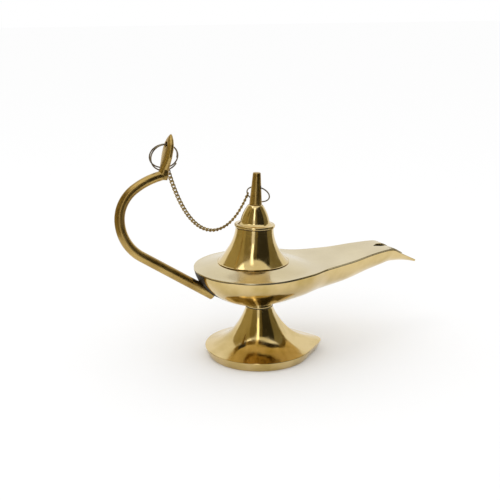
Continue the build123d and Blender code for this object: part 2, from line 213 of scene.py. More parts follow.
def shaded(mesh):
    """Shades a mesh smooth, except across its creases."""
    mesh.shade_smooth()
    mesh.set_sharp_from_angle(angle=CREASE)


def new_piece(name, points, faces):
    """A mesh object from points in millimetres, with its seams merged and its faces outwards."""
    mesh = bpy.data.meshes.new(name)
    mesh.from_pydata([Vector(point) * MM for point in points], [], faces)
    work = bmesh.new()
    work.from_mesh(mesh)
    bmesh.ops.remove_doubles(work, verts=work.verts, dist=SEAM)
    bmesh.ops.dissolve_degenerate(work, edges=work.edges, dist=SEAM)
    bmesh.ops.recalc_face_normals(work, faces=work.faces)
    work.to_mesh(mesh)
    work.free()
    shaded(mesh)
    piece = bpy.data.objects.new(name, mesh)
    scene.collection.objects.link(piece)
    return piece


def settle(piece, finish, body, slot, *nodes):
    """Gives a piece its finish, its body and the solids that it stands for."""
    piece.data.materials.clear()
    piece.data.materials.append(finish)
    if nodes:
        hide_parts(*nodes)
    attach(piece, body)
    print(piece.name, "faces:", len(piece.data.polygons), "on", body)


print("points closer than", SEAM / MM, "mm are merged")

# %% [markdown]
# ## Foot
#
# The foot is a casting: a teardrop rim, drawn out to a point under the spout, that flares up to a
# round stem, and it is hollow underneath. It could be sculpted from a cylinder, but each level is the
# same outline at another size, so it is lofted through teardrops that share their number of points.
# It was soldered on a little askew, so the finished foot is turned under the bowl.

# %% Teardrop outlines
foot_radius = 33.4
foot_point = 42.0
foot_point_round = 8.0
foot_tread = 31.0
foot_rim = 5.8
tip_steps, flank_steps, heel_steps = 12, 12, 72


def spread(start, end, steps):
    """Values spaced evenly from start to end."""
    return [start + (end - start) * step / steps for step in range(steps + 1)]


def teardrop(height, radius, point, tip):
    """A level outline: a round heel drawn out along two straight flanks to a rounded point."""
    flank = math.acos(min(radius / point, 1.0))
    tip_middle = point - tip * point / radius
    tip_end = Vector((tip_middle + tip * math.cos(flank), tip * math.sin(flank)))
    heel_start = Vector((radius * math.cos(flank), radius * math.sin(flank)))
    tip_angles = spread(-flank, flank, tip_steps)[:-1]
    heel_angles = spread(flank, 2 * math.pi - flank, heel_steps)[:-1]
    shares = spread(0, 1, flank_steps)[:-1]
    flank_out = [tip_end.lerp(heel_start, share) for share in shares]
    flank_back = [heel_start.lerp(tip_end, share) for share in shares]
    return [
        *[(tip_middle + tip * math.cos(a), tip * math.sin(a), height) for a in tip_angles],
        *[(place.x, place.y, height) for place in flank_out],
        *[(radius * math.cos(a), radius * math.sin(a), height) for a in heel_angles],
        *[(place.x, -place.y, height) for place in flank_back],
    ]


def inset_teardrop(height, inset):
    """The rim's outline at a height, drawn in evenly by an inset. The rim is narrower at the table."""
    radius = foot_tread + (foot_radius - foot_tread) * min(height / foot_rim, 1.0) - inset
    return teardrop(height, radius, foot_point * radius / foot_radius, foot_point_round - inset)


print("points in an outline:", len(inset_teardrop(0.0, 0.0)))

# %% Flare and hollow
foot_height = 30.8
foot_neck_radius = 8.2
foot_neck_point = 8.6
foot_wall = 2.4
foot_plate_share = 0.4
foot_plate_power = 8.0
foot_stem_power = 1.4
flare_height = foot_height - foot_rim
nudge = 0.001


def flare(share, wide, narrow, power):
    """Radius of a flared stem, from its wide end at share 0 to its narrow end at share 1."""
    return narrow + (wide - narrow) * (1 - share) ** power


def foot_outside(share):
    """Radius and height of the flare's surface, a stem that runs out into a flat plate."""
    stem = flare(share, foot_radius, foot_neck_radius, foot_stem_power)
    plate = flare(share, foot_radius, foot_neck_radius, foot_plate_power)
    return Vector((stem + foot_plate_share * (plate - stem), foot_rim + share * flare_height))


def foot_level(share):
    """The outline at a share of the flare's height: it loses its point towards the stem."""
    radius, height = foot_outside(share)
    rim_ratio, neck_ratio = foot_point / foot_radius, foot_neck_point / foot_neck_radius
    point = radius * (rim_ratio + (neck_ratio - rim_ratio) * share)
    return teardrop(height, radius, point, foot_point_round * radius / foot_radius)


def foot_inside(share):
    """Radius and height of the hollow, one wall inside the flare."""
    along = foot_outside(share + nudge) - foot_outside(share)
    return foot_outside(share) + Vector((-along.y, along.x)).normalized() * foot_wall


print("radius halfway up the flare:", round(foot_outside(0.5).x, 1))

# %% Foot, lofted from the hollow round the rim to the stem
foot_turn = math.radians(-12.0)
foot_edge = 0.55
hollow_edge = 0.25
hollow_start, hollow_end, hollow_steps = 0.05, 0.5, 10
flare_start, flare_steps, flare_crowding = 0.013, 34, 1.2
# Height and inset of each outline up the rim, which eases its lower and upper edge
rim_levels = (
    (0.0, foot_edge), (0.12, 0.22), (foot_edge, 0.0),
    (foot_rim - 0.5, 0.0), (foot_rim - 0.14, 0.07), (foot_rim + 0.05, 0.26),
)
rim_rows = [inset_teardrop(height, inset) for height, inset in rim_levels]
hollow = [foot_inside(share) for share in spread(hollow_start, hollow_end, hollow_steps)]
hollow_rings = [
    (0.0, hollow[-1].y), *reversed(hollow),
    (hollow[0].x, hollow_edge), (hollow[0].x + hollow_edge, 0.0),
]
foot_rows = []
for radius, height in hollow_rings:
    foot_rows.append([
        tuple(Vector((x, y)).normalized() * radius) + (height,) for x, y, _ in rim_rows[0]
    ])
foot_rows += rim_rows
for share in spread(0, 1, flare_steps):
    foot_rows.append(foot_level(flare_start + (1 - flare_start) * share**flare_crowding))
foot_rows.append([(0.0, 0.0, foot_height)] * len(rim_rows[0]))
foot = new_piece("lamp_foot", *surface(foot_rows, close_columns=True))
foot.data.transform(Matrix.Rotation(foot_turn, 4, "Z"))
settle(foot, polished_brass, "lamp", "polished_brass", "foot")

# %% [markdown]
# ## Bowl and spout
#
# The bowl is one beaten shell that runs out into an open spout. Its cross sections are like those of
# a boat, each given by a half width, a rise of the rim and a depth, so it is lofted through them as a
# boat builder does, with the sections in between faired by a smooth curve that never overshoots.
# The round back is the same section swung about the bowl's middle. A turned collar joins the shell
# to the foot, and a near-black sheet inside the open spout paints the shade there.

# %% Stations of the hull
bowl_shift = -3.4
bowl_radius = 36.4
bowl_depth = 22.8
collar_height = 2.3
bowl_bottom = foot_height + collar_height
bowl_rim = bowl_bottom + bowl_depth
# Place along X, half width, rise of the rim above the bowl's, depth below it
stations = (
    (bowl_shift, bowl_radius, 0.0, bowl_depth),
    (20.0, 31.6, 0.0, 20.9),
    (36.0, 23.2, -0.6, 18.1),
    (55.0, 18.2, 0.0, 16.2),
    (75.0, 13.7, 1.9, 13.2),
    (88.0, 11.2, 2.5, 10.9),
    (97.0, 8.3, -1.5, 6.6),
    (106.0, 4.4, -6.0, 3.3),
    (113.5, 1.2, -9.7, 1.5),
)
spout_end = stations[-1][0]


def grade(index, column):
    """Mean slope of a column between one station and the next."""
    here, there = stations[index], stations[index + 1]
    return (there[column] - here[column]) / (there[0] - here[0])


def slope(index, column):
    """Slope of a column at a station: level at the bowl and at every turning point."""
    if index == 0:
        return 0.0
    before = grade(index - 1, column)
    after = grade(min(index, len(stations) - 2), column)
    return 2 * before * after / (before + after) if before * after > 0 else 0.0


def hull_at(place):
    """Half width, rise and depth of the hull at a place along it."""
    index = max(i for i in range(len(stations) - 1) if stations[i][0] <= place)
    here, there = stations[index], stations[index + 1]
    run = there[0] - here[0]
    share = (place - here[0]) / run
    ease = share**2 * (3 - 2 * share)
    leave, arrive = run * share * (1 - share) ** 2, run * share**2 * (1 - share)
    return [
        here[column] + ease * (there[column] - here[column])
        + leave * slope(index, column) - arrive * slope(index + 1, column)
        for column in (1, 2, 3)
    ]


print("half width, rise and depth halfway along:", [round(v, 1) for v in hull_at(spout_end / 2)])

# %% Bowl: outside, rim and inside in one closed shell
bowl_wall = 1.6
bowl_fullness = 1.25
lip_groove = 0.4
rim_edge, rim_edge_share = 0.3, 0.04
station_spacing = 1.5
section_steps = 56
swing_steps = 48


def section(half_width, depth, rim):
    """A closed section of the shell as (across, height): outside, rim, inside and rim again."""
    edge = min(rim_edge, rim_edge_share * depth)
    angles = spread(0, math.pi, section_steps)[1:-1]
    reach, well = max(half_width - bowl_wall, lip_groove), max(depth - bowl_wall, lip_groove)
    outside = [(half_width * math.cos(a), rim - depth * math.sin(a) ** bowl_fullness) for a in angles]
    inside = [(reach * math.cos(a), rim - well * math.sin(a) ** bowl_fullness) for a in reversed(angles)]
    return [
        (half_width - edge, rim), (half_width, rim - edge), *outside,
        (-half_width, rim - edge), (edge - half_width, rim),
        (-reach, rim), *inside, (reach, rim),
    ]


def bridged(first, near, far):
    """Faces across a ring of points, between a near and a far number that step towards each other."""
    faces = []
    while far - near > 2:
        faces.append((first + near, first + near + 1, first + far - 1, first + far))
        near, far = near + 1, far - 1
    return faces


heel_section = section(bowl_radius, bowl_depth, bowl_rim)
bowl_rows = []
for turn in spread(math.pi, math.pi / 2, swing_steps)[:-1]:
    bowl_rows.append([
        (bowl_shift + abs(across) * math.cos(turn), across * math.sin(turn), height)
        for across, height in heel_section
    ])
station_count = round((spout_end - bowl_shift) / station_spacing)
for place in spread(bowl_shift, spout_end, station_count):
    half_width, rise, depth = hull_at(place)
    bowl_rows.append([
        (place, across, height) for across, height in section(half_width, depth, bowl_rim + rise)
    ])
points, faces = surface(bowl_rows, close_columns=True)
faces += bridged(len(points) - len(heel_section), 1, len(heel_section) - 1)
bowl = new_piece("lamp_bowl", points, faces)
print("sections of the shell:", len(bowl_rows))

# %% Helpers to spin a profile, ease its corners and join or cut pieces
ease_share = 0.45


def even_turns(sides):
    """Angles of points spaced evenly round a circle."""
    return spread(0, 2 * math.pi, sides)[:-1]


def spun(name, profile, middle, sides, close_rows=False):
    """A piece spun about an upright axis, from a profile of radius and height."""
    turns = even_turns(sides)
    rows = [
        [(middle + radius * math.cos(turn), radius * math.sin(turn), height) for turn in turns]
        for radius, height in profile
    ]
    return new_piece(name, *surface(rows, close_rows, close_columns=True))


def eased(corners, reach, steps=5):
    """A profile with each inner corner rounded, starting the curve at a given reach from it."""
    out = [corners[0]]
    for before, here, after in zip(corners, corners[1:], corners[2:]):
        here, before, after = Vector(here), Vector(before), Vector(after)
        into, away = before - here, after - here
        start = here + into.normalized() * min(reach, into.length * ease_share)
        end = here + away.normalized() * min(reach, away.length * ease_share)
        for t in spread(0, 1, steps):
            out.append(tuple(start * (1 - t) ** 2 + here * 2 * t * (1 - t) + end * t**2))
    return [*out, corners[-1]]


def applied(piece):
    """Turns a piece's modifiers into its plain mesh."""
    graph = bpy.context.evaluated_depsgraph_get()
    mesh = bpy.data.meshes.new_from_object(piece.evaluated_get(graph))
    piece.modifiers.clear()
    piece.data = mesh


def cut(piece, other, how="DIFFERENCE"):
    """Takes another shape out of a piece, or adds it, and throws the other shape away."""
    change = piece.modifiers.new("cut", "BOOLEAN")
    change.operation = how
    change.solver = "EXACT"
    change.object = other
    applied(piece)
    shaded(piece.data)
    bpy.data.objects.remove(other)


print("an eased corner takes at most", ease_share, "of each side")

# %% Collar, joined to the bowl
collar_radius = 8.2
collar_band = 0.8
collar_taper = 0.6
collar_overlap = 1.3
collar_ease = 0.1
collar_sides = 72
collar_corners = [
    (0.0, foot_height), (collar_radius, foot_height), (collar_radius, foot_height + collar_band),
    (collar_radius - collar_taper, bowl_bottom + collar_overlap), (0.0, bowl_bottom + collar_overlap),
]
cut(bowl, spun("collar", eased(collar_corners, collar_ease), 0.0, collar_sides), "UNION")
settle(bowl, polished_brass, "lamp", "polished_brass", "bowl")

# %% Painted shade inside the spout
spout_shade_start, spout_shade_end, spout_shade_steps = 60.0, 107.0, 40
spout_shade_gap, spout_shade_skin, spout_shade_drop = 0.02, 0.12, 0.2


def lining(place, skin):
    """The inside of the spout at a place along it, a skin's thickness in from its wall."""
    half_width, rise, depth = hull_at(place)
    reach = max(half_width - bowl_wall - skin, lip_groove - skin)
    well = max(depth - bowl_wall - skin, lip_groove - skin) - spout_shade_drop
    top = bowl_rim + rise - spout_shade_drop
    angles = spread(0, math.pi, section_steps)
    return [(place, reach * math.cos(a), top - well * math.sin(a) ** bowl_fullness) for a in angles]


spout_shade_rows = [
    [*lining(place, spout_shade_gap), *reversed(lining(place, spout_shade_skin))]
    for place in spread(spout_shade_start, spout_shade_end, spout_shade_steps)
]
points, faces = surface(spout_shade_rows, close_columns=True)
spout_shade_count = len(spout_shade_rows[0])
for first in (0, len(points) - spout_shade_count):
    faces += bridged(first, 0, spout_shade_count - 1)
# A near-black sheet inside the spout, which paints the shade in its recess
spout_shade_lining = new_piece("spout_shade_sheet", points, faces)
settle(spout_shade_lining, spout_shade_finish, "lamp", "old_solder")

# %% [markdown]
# ## Deck
#
# The deck is a thin plate soldered on the bowl's rim. It swells up a little to where the neck stands,
# has a round hole under the neck and a slot where the wick comes out. Cutting a round hole in a grid
# leaves a ragged edge, so the plate is laid out in rays from the hole's rim to the outline instead, and
# both edges come out true. The straight slot is then sawn out of it.

# %% Outline of the deck
deck_end = 98.0
end_steps, side_steps = 8, 60
end_width = hull_at(deck_end)[0]
half_outline = [Vector((deck_end, across)) for across in spread(0, end_width, end_steps)[:-1]]
half_outline += [
    Vector((place, hull_at(place)[0])) for place in spread(deck_end, bowl_shift, side_steps)[:-1]
]
half_outline += [
    Vector((bowl_shift + bowl_radius * math.cos(turn), bowl_radius * math.sin(turn)))
    for turn in spread(math.pi / 2, math.pi, swing_steps)
]
deck_outline = half_outline + [Vector((p.x, -p.y)) for p in reversed(half_outline[1:-1])]
print("points round the deck:", len(deck_outline))

# %% Deck plate in rays from the fill hole
deck_thickness = 0.8
deck_edge = 0.22
deck_ease = 0.3 * deck_edge
deck_rings = 44
fill_radius = 15.0
crown_radius = 35.5
crown_height = 2.7
crown_power = 1.5
neck_middle = -4.0
neck_base_radius = 21.6
middle = Vector((neck_middle, 0.0))


def crown(x, y):
    """Height of the deck's swell, which fades out towards its edge."""
    radius = max(math.hypot(x - neck_middle, y), neck_base_radius)
    fall = (crown_radius**2 - radius**2) / (crown_radius**2 - neck_base_radius**2)
    return crown_height * max(fall, 0.0) ** crown_power


def rim_rise(x):
    """Rise of the rim at a place along the lamp: it is level round the back."""
    return hull_at(x)[1] if x > bowl_shift else 0.0


def deck_row(share, inset, height):
    """A ring of the plate, between the fill hole and the outline, at a height above the rim."""
    row = []
    for corner in deck_outline:
        ray = (corner - middle).normalized()
        inner, outer = middle + ray * fill_radius, corner - ray * inset
        place = inner.lerp(outer, share)
        row.append((place.x, place.y, bowl_rim + rim_rise(place.x) + crown(place.x, place.y) + height))
    return row


deck_rows = [
    *[deck_row(share, deck_edge, deck_thickness) for share in spread(0, 1, deck_rings)],
    deck_row(1.0, deck_ease, deck_thickness - deck_ease),
    deck_row(1.0, 0.0, deck_thickness - deck_edge),
    deck_row(1.0, 0.0, deck_edge),
    *[deck_row(share, deck_edge, 0.0) for share in spread(1, 0, deck_rings)],
]
deck = new_piece("lamp_deck", *surface(deck_rows, close_rows=True, close_columns=True))
print("rings of the plate:", len(deck_rows))

# %% Wick slot, sawn out of the plate
wick_slot_start = 81.0
wick_slot_corner = 85.0
wick_slot_side = 3.1
deck_top = bowl_rim + deck_thickness


def capped(rows):
    """Points and faces of a tube through rows of points, with one flat face at each end."""
    points, faces = surface(rows, close_columns=True)
    count = len(rows[0])
    return points, [*faces, tuple(range(count)), tuple(range(len(points) - count, len(points)))]


saw_line = [
    (wick_slot_start, 0.0), (wick_slot_corner, wick_slot_side), (spout_end, wick_slot_side),
    (spout_end, -wick_slot_side), (wick_slot_corner, -wick_slot_side),
]
saw_rows = [[(x, y, height) for x, y in saw_line] for height in (bowl_bottom, deck_top + bowl_depth)]
cut(deck, new_piece("saw", *capped(saw_rows)))
settle(deck, deck_brass, "lamp", "polished_brass", "deck")

# %% [markdown]
# ## Seam
#
# Where the plate meets the bowl, old solder and dirt lie in the groove between the two edges. It is a
# thread that follows the outline, with its outer side flush with the metal. A fixed noise, read at
# each place, makes it thicker and thinner.

# %% Dirt in the seam under the deck
seam_end = deck_end - 0.5
seam_reach = 0.30
seam_sides = 8
seam_grain, seam_slice = 0.16, 3.0
seam_mean, seam_swell, seam_grit, grit_fineness = 0.70, 0.8, 0.5, 4
seam_least, seam_most = 0.06, 1.2 * seam_reach
seam_wander, wander_fineness = 0.12, 1.7


def heading(path, index):
    """Direction of a path at one of its points."""
    return (path[min(index + 1, len(path) - 1)] - path[max(index - 1, 0)]).normalized()


seam_line = [corner for corner in deck_outline if corner.x < seam_end]
turn_at = max(range(len(seam_line)), key=lambda k: (seam_line[k] - seam_line[k - 1]).length)
seam_line = seam_line[turn_at:] + seam_line[:turn_at]
seam_rows = []
for index, corner in enumerate(seam_line):
    along = heading(seam_line, index)
    out = Vector((along.y, -along.x))
    out = out if out.dot(corner - middle) > 0 else -out
    spot = Vector((corner.x * seam_grain, corner.y * seam_grain, seam_slice))
    lumps = seam_swell * noise.noise(spot) + seam_grit * noise.noise(spot * grit_fineness)
    thick = min(max(seam_reach * (seam_mean + lumps), seam_least), seam_most)
    height = bowl_rim + rim_rise(corner.x) + seam_wander * noise.noise(spot * wander_fineness)
    row = []
    for turn in even_turns(seam_sides):
        place = corner + out * (thick * math.cos(turn) - thick)
        row.append((place.x, place.y, height + thick * math.sin(turn)))
    seam_rows.append(row)
seam = new_piece("deck_seam", *capped(seam_rows))
settle(seam, old_solder, "lamp", "old_solder")

# %% [markdown]
# ## Neck, lid and finial
#
# These are turned on a lathe, so each is a profile spun about an upright axis. The profile is the
# part worth care: corners are eased, and the lid is hollow with a spigot that drops into the neck's
# mouth. The neck was soldered on a little crooked, so all three are made upright and then leaned
# together, and the bell's lip is fitted to the deck. Thin dark rings round the neck's mouth, under the
# lid's flange, and under the bowl's collar are painted shade.

# %% Neck
neck_lean = math.radians(2.5)
neck_mouth_radius = 11.4
neck_height = 21.5
neck_wall = 1.2
neck_flare = 2.0
neck_base = deck_top + crown_height
neck_top = neck_base + neck_height
spin_sides = 128
bell_steps = 30
bell_start, bell_end, bell_inside_end = 0.03, 0.98, 0.985
mouth_ease = 0.2
# Inset from the edge, with the rise above the deck or the drop below the mouth
lip_edge = ((0.9, 0.0), (0.25, 0.15), (0.0, 0.35), (0.05, 0.55))
mouth_edge = ((0.1, 0.1), (0.35, 0.0))


def bell(share, inset=0.0):
    """Radius and height of the bell's surface, or of its inside."""
    radius = flare(share, neck_base_radius, neck_mouth_radius, neck_flare)
    return radius - inset, neck_base + share * neck_height


neck_profile = [
    *[(neck_base_radius - inset, neck_base + rise) for inset, rise in lip_edge],
    *[bell(share) for share in spread(bell_start, bell_end, bell_steps)],
    *[(neck_mouth_radius - inset, neck_top - drop) for inset, drop in mouth_edge],
    (neck_mouth_radius - neck_wall + mouth_ease, neck_top),
    *[bell(share, neck_wall) for share in spread(bell_inside_end, 0, bell_steps)],
]
neck = spun("lamp_neck", neck_profile, neck_middle, spin_sides, close_rows=True)
print("points in the bell's profile:", len(neck_profile))

# %% Lean the neck and fit its lip to the deck
seat_gap = 0.02
seat_reach = 7.0
neck_foot = Vector((neck_middle, 0.0, neck_base))
lean = (
    Matrix.Translation(neck_foot * MM)
    @ Matrix.Rotation(neck_lean, 4, "Y")
    @ Matrix.Translation(-neck_foot * MM)
)
upright = [vertex.co.z / MM - neck_base for vertex in neck.data.vertices]
neck.data.transform(lean)
for vertex, above in zip(neck.data.vertices, upright):
    x, y, height = vertex.co / MM
    lifted = height - above - deck_top - crown(x, y) - seat_gap
    vertex.co.z = (height - lifted * max(1 - above / seat_reach, 0.0)) * MM
settle(neck, polished_brass, "lamp", "polished_brass", "neck")

# %% Lid
lid_flange_radius = 12.2
lid_flange = 1.8
lid_wall = 2.0
lid_spigot = 4.0
lid_clearance = 0.08
lid_ease = 0.7
bore_blend = 0.2
dome_cove_radius = 10.4
dome_cove = 1.2
dome_radius = 8.9
dome_top_radius = 4.3
dome_height = 11.6
dome_bulge = 0.6
# Inset from the dome's top edge and drop below it
dome_edge = ((0.05, 0.12), (0.3, 0.0))
dome_base = neck_top + lid_flange
dome_top = dome_base + dome_height
spigot_radius = neck_mouth_radius - neck_wall - lid_clearance
spigot_bore = spigot_radius - lid_wall
spigot_end = neck_top - lid_spigot


def dome(base_radius, base, top_radius, top, steps=20):
    """Points up the side of a dome that swells out from the straight line between its ends."""
    start, end = Vector((base_radius, base)), Vector((top_radius, top))
    out = Vector((end.y - start.y, start.x - end.x)).normalized()
    return [
        tuple(start.lerp(end, share) + out * dome_bulge * 4 * share * (1 - share))
        for share in spread(0, 1, steps)
    ]


dome_side = dome(dome_radius, dome_base + dome_cove, dome_top_radius, dome_top)
dome_inside = dome(spigot_bore, neck_top, dome_top_radius - lid_wall, dome_top - lid_wall)
lid_corners = [
    (spigot_bore, neck_top - bore_blend), (spigot_bore, spigot_end), (spigot_radius, spigot_end),
    (spigot_radius, neck_top), (lid_flange_radius, neck_top), (lid_flange_radius, dome_base),
    (dome_cove_radius, dome_base), dome_side[0], dome_side[2],
]
lid_profile = [
    (0.0, dome_top - lid_wall),
    *reversed(dome_inside),
    *eased(lid_corners, lid_ease),
    *dome_side[3:-1],
    *[(dome_top_radius - inset, dome_top - drop) for inset, drop in dome_edge],
    (0.0, dome_top),
]
lid = spun("lid_dome", lid_profile, neck_middle, spin_sides)
lid.data.transform(lean)
settle(lid, polished_brass, "lid", "polished_brass", "lid")

# %% Painted shade round the neck's mouth and under the bowl's collar
mouth_shade_size, mouth_shade_inset = 0.24, 0.2
collar_shade_size, collar_shade_inset, collar_shade_rise = 0.36, 0.12, 0.15
shade_ring_sides = 8


def shade_ring(name, middle, radius, height, size):
    """A thin dark ring round an upright axis, which paints shade where it lies."""
    profile = [
        (radius + size * math.cos(turn), height + size * math.sin(turn)) for turn in even_turns(shade_ring_sides)
    ]
    return spun(name, profile, middle, spin_sides, close_rows=True)


# Painted shade: a thin dark ring at the neck's mouth, under the lid's flange
mouth_shade_ring = shade_ring(
    "mouth_shade_ring", neck_middle, neck_mouth_radius - mouth_shade_inset, neck_top - mouth_shade_size,
    mouth_shade_size,
)
mouth_shade_ring.data.transform(lean)
# Painted shade: a thin dark ring under the bowl, where the collar meets the foot
collar_shade_ring = shade_ring(
    "collar_shade_ring", 0.0, collar_radius - collar_shade_inset, foot_height + collar_shade_rise, collar_shade_size
)
for shade_ring_piece in (mouth_shade_ring, collar_shade_ring):
    settle(shade_ring_piece, old_solder, "lamp", "old_solder")

# %% Finial, drilled across
finial_radius = 3.8
finial_top_radius = 2.3
finial_height = 19.2
finial_edge = 0.6
finial_sides = 64
finial_hole_height = 10.6
finial_hole_radius = 1.1
finial_turn = math.radians(-43.0)
drill_angles = even_turns(32)
finial_top = dome_top + finial_height
finial_hole = Vector((neck_middle, 0.0, dome_top + finial_hole_height))
finial_line = Vector((math.cos(finial_turn), math.sin(finial_turn), 0.0))


def drill(middle, direction, radius, reach):
    """A round bar to cut a hole with."""
    turned = direction.to_track_quat("Z", "Y")
    rows = [
        [middle + turned @ Vector((radius * math.cos(a), radius * math.sin(a), along)) for a in drill_angles]
        for along in (-reach, reach)
    ]
    return new_piece("drill", *capped(rows))


finial_corners = [
    (0.0, dome_top), (finial_radius, dome_top), (finial_top_radius, finial_top), (0.0, finial_top)
]
finial = spun("lid_finial", eased(finial_corners, finial_edge), neck_middle, finial_sides)
cut(finial, drill(finial_hole, finial_line, finial_hole_radius, 2 * finial_radius))
finial.data.transform(lean)
settle(finial, satin_brass, "lid", "polished_brass", "finial")

# %% [markdown]
# ## Handle
#
# The handle is one cast bar, bent to a hoop, that ends in a leaf for the thumb. The bar follows a
# straight run and three arcs that meet without a corner, and gets thinner towards the leaf. The leaf
# is a ridged lens, drilled for its ring. A casting has no sharp joins, so bar and leaf are joined,
# remeshed in small even faces and smoothed, which leaves the soft root that a mould gives.

# %% Hoop of the bar
handle_radius = 3.2
handle_top_radius = 2.75
handle_overlap = 1.2
run_steps, arc_steps, bar_sides = 40, 24, 24
bowl_back = Vector((bowl_shift - bowl_radius, bowl_rim))
# Ends of the straight run and of each arc, along X and up from the back of the bowl's rim
handle_steps = ((9.1, -13.9), (-34.2, 14.8), (-46.3, 36.6), (-37.2, 54.1), (-20.0, 60.7))
handle_points = [bowl_back + Vector(step) for step in handle_steps]


def tangent_arc(start, along, end):
    """Points of the arc that leaves start along a direction and reaches end, and its last direction."""
    chord = end - start
    half_turn = math.atan2(along.x * chord.y - along.y * chord.x, along.dot(chord))
    radius = chord.length / (2 * math.sin(half_turn))
    normal = Vector((-along.y, along.x))
    turns = spread(0, 2 * half_turn, arc_steps)[1:]
    points = [start + (along * math.sin(t) + normal * (1 - math.cos(t))) * radius for t in turns]
    return points, along * math.cos(2 * half_turn) + normal * math.sin(2 * half_turn)


direction = (handle_points[1] - handle_points[0]).normalized()
hoop = [handle_points[0].lerp(handle_points[1], share) for share in spread(0, 1, run_steps)]
for start, end in zip(handle_points[1:], handle_points[2:]):
    arc, direction = tangent_arc(start, direction, end)
    hoop += arc
hoop.append(hoop[-1] + direction * handle_overlap)

bar_rows = []
for index, place in enumerate(hoop):
    along = heading(hoop, index)
    out = Vector((-along.y, along.x))
    share = index / (len(hoop) - 1)
    radius = handle_radius + (handle_top_radius - handle_radius) * share
    row = []
    for turn in even_turns(bar_sides):
        across = place + out * radius * math.cos(turn)
        row.append((across.x, radius * math.sin(turn), across.y))
    bar_rows.append(row)
handle = new_piece("lamp_handle", *capped(bar_rows))
print("bar points:", len(hoop))

# %% Leaf, joined to the bar and drilled
leaf_lean = math.radians(13.1)
leaf_base = Vector((handle_points[-1].x, 0.0, handle_points[-1].y))
leaf_axis = Vector((math.sin(leaf_lean), 0.0, math.cos(leaf_lean)))
leaf_across = Vector((math.cos(leaf_lean), 0.0, -math.sin(leaf_lean)))
# Height up the leaf, thickness and width of each section
leaf_sections = (
    (-2.4, 5.6, 5.0),
    (0.0, 6.0, 5.8),
    (3.5, 5.2, 6.0),
    (7.0, 4.8, 8.8),
    (11.0, 4.6, 11.2),
    (15.0, 4.3, 11.4),
    (18.0, 3.9, 9.8),
    (20.6, 3.0, 6.4),
    (22.5, 1.7, 2.8),
    (23.5, 0.7, 1.0),
)
leaf_hole_height = 17.6
leaf_hole_radius = 1.6
leaf_drill_reach = 6.0
leaf_ridge = 0.85
leaf_steps, leaf_sides = 4, 40
leaf_rows = [[leaf_base + leaf_axis * leaf_sections[0][0]] * leaf_sides]
for here, there in zip(leaf_sections, leaf_sections[1:]):
    for step in range(leaf_steps):
        height, thickness, width = [a + (b - a) * step / leaf_steps for a, b in zip(here, there)]
        row = []
        for turn in even_turns(leaf_sides):
            over, aside = math.cos(turn), math.sin(turn)
            over = math.copysign(abs(over) ** leaf_ridge, over) * thickness / 2
            aside = math.copysign(abs(aside) ** leaf_ridge, aside) * width / 2
            row.append(leaf_base + leaf_axis * height + leaf_across * over + Vector((0, aside, 0)))
        leaf_rows.append(row)
leaf_rows.append([leaf_base + leaf_axis * leaf_sections[-1][0]] * leaf_sides)
cut(handle, new_piece("leaf", *surface(leaf_rows, close_columns=True)), "UNION")
leaf_hole = leaf_base + leaf_axis * leaf_hole_height
cut(handle, drill(leaf_hole, Vector((1, 0, 0)), leaf_hole_radius, leaf_drill_reach))
print("rows of the leaf:", len(leaf_rows))

# %% Fit the bar's tail to the bowl and soften the casting
form_gap = 0.36
form_rings, form_sides = 24, 96
cast_grain = 0.28


def heel_surface(turn, dip, growth):
    """A point on the bowl's round back: turn about the bowl's axis, dip below the rim, and growth."""
    reach = (bowl_radius + growth) * math.cos(dip)
    height = bowl_rim - (bowl_depth + growth) * math.sin(dip) ** bowl_fullness
    return Vector((bowl_shift + reach * math.cos(turn), reach * math.sin(turn), height))


form_rows = [[Vector((bowl_shift, 0, bowl_rim))] * form_sides]
for dip in spread(0, math.pi / 2, form_rings):
    form_rows.append([heel_surface(turn, dip, form_gap) for turn in even_turns(form_sides)])
cut(handle, new_piece("bowl form", *surface(form_rows, close_columns=True)))
remesh = handle.modifiers.new("cast", "REMESH")
remesh.mode = "VOXEL"
remesh.voxel_size = cast_grain * MM
soften = handle.modifiers.new("soften", "SMOOTH")
soften.factor = 0.5
soften.iterations = 5
applied(handle)
handle.data.shade_smooth()
settle(handle, satin_brass, "lamp", "satin_brass", "handle")

# %% [markdown]
# ## Solder
#
# Black flux and lumps of solder were left where the bar meets the bowl. It is a thin skin that
# follows the bowl's round back, so it is a patch of that same surface, pushed out by a fixed noise
# and drawn to nothing at its ragged edge.

# %% Patch of old solder
patch_steps = 44
patch_turn = math.radians(10.5)
patch_dips = (math.radians(1.5), math.radians(52.0))
patch_base, patch_height, patch_skin = 0.03, 1.5, 0.2
edge_mean, edge_swing, edge_grain, edge_slice, edge_power = 0.82, 0.32, 1.7, 9.0, 0.6
lump_mean, lump_swing, lump_grit, lump_least = 0.55, 0.6, 0.25, 0.12
lump_grain_across, lump_grain_down, lump_slice, lump_fineness = 2.2, 2.6, 4.0, 3.1

